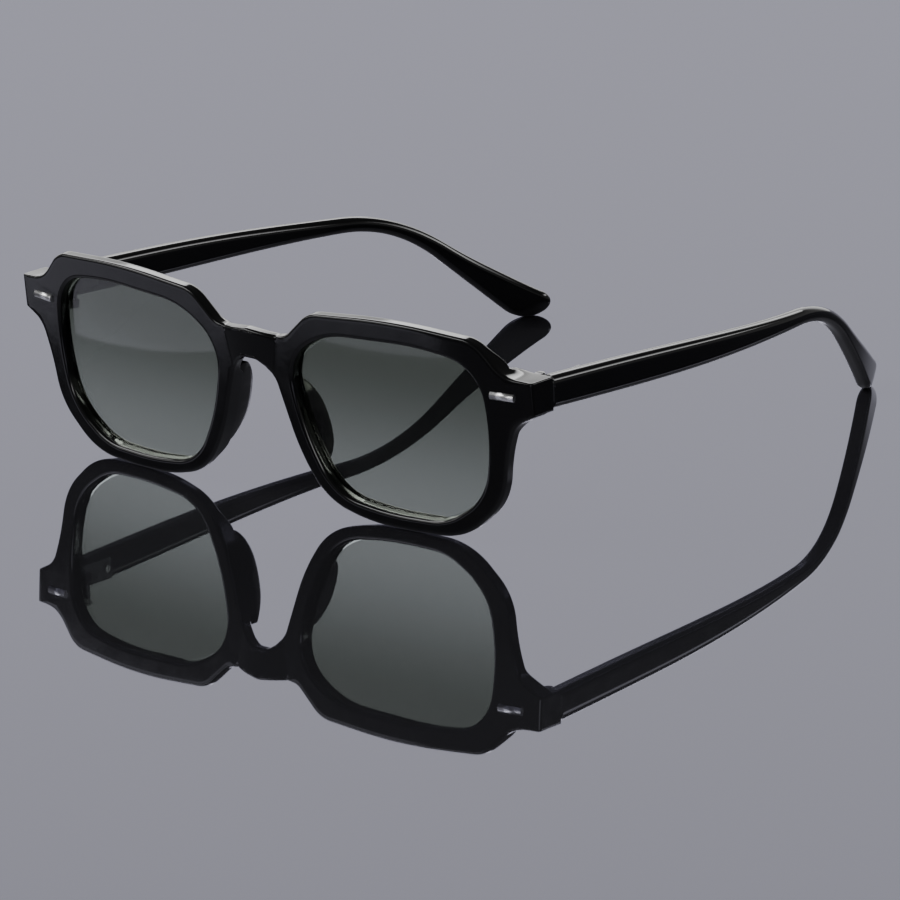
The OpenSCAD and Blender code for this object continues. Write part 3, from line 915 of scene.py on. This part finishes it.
def bright_metal(name, colour, rough):
    """Polished metal with fine scratches."""
    paint = bpy.data.materials.new(name)
    paint.use_nodes = True
    nodes, links = paint.node_tree.nodes, paint.node_tree.links
    shader = nodes["Principled BSDF"]
    shader.inputs["Base Color"].default_value = colour
    shader.inputs["Metallic"].default_value = 1
    place = nodes.new("ShaderNodeTexCoord")
    stretch = nodes.new("ShaderNodeMapping")
    stretch.inputs["Scale"].default_value = (200, 200, 12000)
    scratch = nodes.new("ShaderNodeTexNoise")
    scratch.inputs["Scale"].default_value = 1
    scratch.inputs["Detail"].default_value = 3
    gloss = nodes.new("ShaderNodeMapRange")
    gloss.inputs["To Min"].default_value = rough * 0.85
    gloss.inputs["To Max"].default_value = rough * 1.2
    bump = nodes.new("ShaderNodeBump")
    bump.inputs["Strength"].default_value = 0.3
    bump.inputs["Distance"].default_value = 0.0000006
    links.new(place.outputs["Object"], stretch.inputs["Vector"])
    links.new(stretch.outputs["Vector"], scratch.inputs["Vector"])
    links.new(scratch.outputs["Fac"], gloss.inputs["Value"])
    links.new(gloss.outputs["Result"], shader.inputs["Roughness"])
    links.new(scratch.outputs["Fac"], bump.inputs["Height"])
    links.new(bump.outputs["Normal"], shader.inputs["Normal"])
    return paint


for side, sign in (("right", 1), ("left", -1)):
    bm = bmesh.new()
    bmesh.ops.create_cube(bm, size=1)
    bmesh.ops.scale(bm, vec=(plaque_l, plaque_proud + plaque_sink, plaque_h), verts=bm.verts)
    bmesh.ops.translate(bm, vec=(0, (plaque_sink - plaque_proud) / 2, 0), verts=bm.verts)
    long_edges = [
        e for e in bm.edges
        if all(v.co.y < 0 for v in e.verts) and abs(e.verts[0].co.x - e.verts[1].co.x) > 1
    ]
    bmesh.ops.bevel(
        bm, geom=long_edges, offset=plaque_bevel, offset_type="OFFSET", affect="EDGES",
        segments=8, profile=0.5, material=-1,
    )
    bm.normal_update()
    for f in bm.faces:
        f.smooth = abs(f.normal.x) < 0.9
    x = end_x - plaque_inset
    z = (end_z0 + end_z1) / 2 - plaque_drop
    turn = Matrix.Rotation(front_lean, 4, "X") @ Matrix.Rotation(math.asin(x / front_r), 4, "Z")
    seat = Matrix.Translation((x, face_y(x, z), z)) @ turn
    bmesh.ops.transform(bm, matrix=seat, verts=bm.verts)
    to_metres(bm, sign)
    plaque = new_piece(f"bevelled_plaque_{side}", bm)
    plaque.data.materials.append(bright_metal(f"bright_plaque_{side}", (0.93, 0.93, 0.93, 1), 0.3))
    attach(plaque, "front")
    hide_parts(f"plaque_{side}")

# Hinges: two steel leaves with three knuckles on a slotted screw, each leaf
# held by two rivets, one leaf let into the block and one into the temple.
hinge_steel = bright_metal("hinge_steel", (0.10, 0.10, 0.105, 1), 0.3)
rivet_metal = bright_metal("rivet_metal", (0.72, 0.72, 0.73, 1), 0.2)
for name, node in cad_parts.items():
    if "leaf" in name or "screw" in name:
        paint = hinge_steel
    elif "rivet" in name:
        paint = rivet_metal
    else:
        continue
    node.data.materials.clear()
    node.data.materials.append(paint)

# Temples: one black moulding each, deep and square at the hinge, narrowest
# before the ear, then bent down to a rounded paddle that rests on the floor.
temple_t, tip_t, temple_h, waist_h, tip_h = 4, 3.2, 6.8, 3.2, 8.6
straight_l, bend_r, waist_back = 85, 42, 12
temple_slope, ear_slope = math.radians(3.3), math.radians(40)
tip_in, bow_start, bow_end, bow_power = 21, 28, 129.562, 2.6
end_cap, end_power, end_skew, tip_up = 4.4, 2.3, 2.6, 5
waist_power, upper_power, lower_power = 1.5, 2.6, 1.45
upper_round, lower_round = 1.9, 1.2
seam_gap, seam_step = 0.2, 0.1
axis_in, axis_back, knuckle_room, leaf_air = 0.8, 1.65, 1.5, 0.04
bend_l = bend_r * (ear_slope - temple_slope)
bend_end = straight_l + bend_l
bend_y = straight_l * math.cos(temple_slope)
bend_drop = straight_l * math.sin(temple_slope)
ear_y = bend_y + bend_r * (math.sin(ear_slope) - math.sin(temple_slope))
ear_drop = bend_drop + bend_r * (math.cos(temple_slope) - math.cos(ear_slope))
temple_z = end_z1 - temple_h / 2
waist_s = straight_l + waist_back
temple_y = seam_y + seam_gap
temple_x = end_x - seam_step - temple_t / 2
axis_x, axis_y = temple_x - temple_t / 2 - axis_in, seam_y + axis_back


def path_at(s):
    """Slope, distance back and drop of the temple's middle line."""
    if s < straight_l:
        return temple_slope, s * math.cos(temple_slope), -s * math.sin(temple_slope)
    if s < bend_end:
        slope = temple_slope + (s - straight_l) / bend_r
        return (
            slope,
            bend_y + bend_r * (math.sin(slope) - math.sin(temple_slope)),
            -bend_drop - bend_r * (math.cos(temple_slope) - math.cos(slope)),
        )
    return (
        ear_slope,
        ear_y + (s - bend_end) * math.cos(ear_slope),
        -ear_drop - (s - bend_end) * math.sin(ear_slope),
    )


def bow(y):
    """How far the temple has bowed inwards at a distance back from the seam."""
    return tip_in * max(0, (y - bow_start) / (bow_end - bow_start)) ** bow_power


def half_heights(s):
    """How far the section reaches above and below the middle line."""
    if s < waist_s:
        v = (max(s, 0) / waist_s) ** waist_power
        half = (waist_h + (temple_h - waist_h) * (1 + math.cos(math.pi * v)) / 2) / 2
        return half, half
    v = (min(s, cap_s) - waist_s) / (cap_s - waist_s)
    return (
        waist_h / 2 + (tip_up - waist_h / 2) * v**upper_power,
        waist_h / 2 + (tip_h - tip_up - waist_h / 2) * v**lower_power,
    )


def end_scale(t):
    """Share of the full section at a part t of the way along the rounded end."""
    return max(1 - t**end_power, 0) ** (1 / end_power)


# The rounded end is fuller than half a circle, and just touches the floor
end_steps = [math.sin(math.pi / 2 * k / 16) for k in range(17)]
end_drop = max(
    (end_cap * t - end_skew * end_scale(t)) * math.sin(ear_slope)
    + (tip_h - tip_up) * end_scale(t) * math.cos(ear_slope)
    for t in end_steps
)
cap_s = bend_end + (temple_z - ear_drop - end_drop) / math.sin(ear_slope)
temple_columns, temple_round = 64, 0.3


def section_place(i, u, halves, scale):
    """Place of column i round an oblong section with rounded corners."""
    quarter, k = divmod(i % temple_columns, temple_columns // 4)
    v = halves[quarter // 2]
    t = k / (temple_columns // 4)
    if quarter % 2:
        t = 1 - t
    most = upper_round if quarter < 2 else lower_round
    r = min(most * scale, 0.94 * u, 0.94 * v)
    # A quarter of the columns for each flat, and a half for the rounded corner
    if t < 0.25:
        x, y = u, (v - r) * t / 0.25
    elif t <= 0.75:
        a = math.pi / 2 * (t - 0.25) / 0.5
        x, y = u - r + r * math.cos(a), v - r + r * math.sin(a)
    else:
        x, y = (u - r) * (1 - t) / 0.25, v
    return (x if quarter in (0, 3) else -x), (y if quarter < 2 else -y)


# Stops along the temple lie closer together beside the hinge and at the end
square_l = 6
temple_stops = (
    [0, 0.25, 0.6, 1, 1.4, 1.8, 2.2, 2.5, 2.8, 3.1, 3.5, 4.5, square_l]
    + [square_l + (straight_l - square_l) * k / 50 for k in range(1, 51)]
    + [straight_l + bend_l * k / 30 for k in range(1, 31)]
    + [bend_end + (cap_s - bend_end) * k / 24 for k in range(1, 25)]
    + [cap_s + end_cap * t for t in end_steps[1:]]
)


skew_l, leaf_end = 12, 16


def temple_point(i, j):
    """Place of column i round the section at stop j."""
    s = temple_stops[j]
    slope, y, z = path_at(s)
    turn = math.atan(bow(y + 0.5) - bow(y - 0.5))
    back = Vector((-math.sin(turn), math.cos(turn), 0))
    side = Vector((math.cos(turn), math.sin(turn), 0))
    up = back * math.sin(slope) + Vector((0, 0, math.cos(slope)))
    along = back * math.cos(slope) - Vector((0, 0, math.sin(slope)))
    scale = max(end_scale(max(s - cap_s, 0) / end_cap), 0.001)
    u = (temple_t + (tip_t - temple_t) * min(s, cap_s) / cap_s) / 2 * scale
    halves = [half * scale for half in half_heights(s)]
    side_part, up_part = section_place(i, u, halves, scale)
    # The end is cut on a slant, so its upper side reaches further
    half_tip = tip_up if up_part > 0 else tip_h - tip_up
    lead = end_skew * up_part / half_tip * smooth((s - cap_s + skew_l) / skew_l)
    spot = Vector((temple_x - bow(y), temple_y + y, temple_z + z))
    spot += side * side_part + up * up_part + along * lead
    if s < square_l:
        # Square off the end that meets the front
        shift = (temple_y + s - spot.y) * (1 - s / square_l)
        spot.y += shift
        spot.z -= shift * math.tan(slope)
    if spot.x < temple_x:
        # The inner face lies a hair behind the leaf, and is hollowed for the knuckles
        if s < leaf_end:
            spot.x += leaf_air
        reach = knuckle_room**2 - (spot.y - axis_y) ** 2
        if reach > 0:
            spot.x = max(spot.x, axis_x + math.sqrt(reach))
    return spot


for side, sign in (("right", 1), ("left", -1)):
    bm = bmesh.new()
    grid_sheet(bm, temple_columns, len(temple_stops) - 1, temple_point)
    bmesh.ops.remove_doubles(bm, verts=bm.verts, dist=0.001)
    bmesh.ops.holes_fill(bm, edges=[e for e in bm.edges if e.is_boundary], sides=0)
    to_metres(bm, sign)
    weight = bm.edges.layers.float.new("bevel_weight_edge")
    for e in bm.edges:
        if e.calc_face_angle(0) > 1.2 and all(v.co.y < (temple_y + 0.1) * MM for v in e.verts):
            e[weight] = temple_round
    for f in bm.faces:
        f.smooth = True
    temple = new_piece(f"bent_temple_{side}", bm)
    temple_rounding = temple.modifiers.new("rounded end", "BEVEL")
    temple_rounding.limit_method = "WEIGHT"
    temple_rounding.width = MM
    temple_rounding.segments = 3
    temple_rounding.use_clamp_overlap = False
    temple.modifiers.new("even shading", "WEIGHTED_NORMAL")
    temple.data.materials.append(black_plastic(f"black_temple_{side}"))
    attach(temple, f"{side}_arm")
    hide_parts(f"temple_{side}")
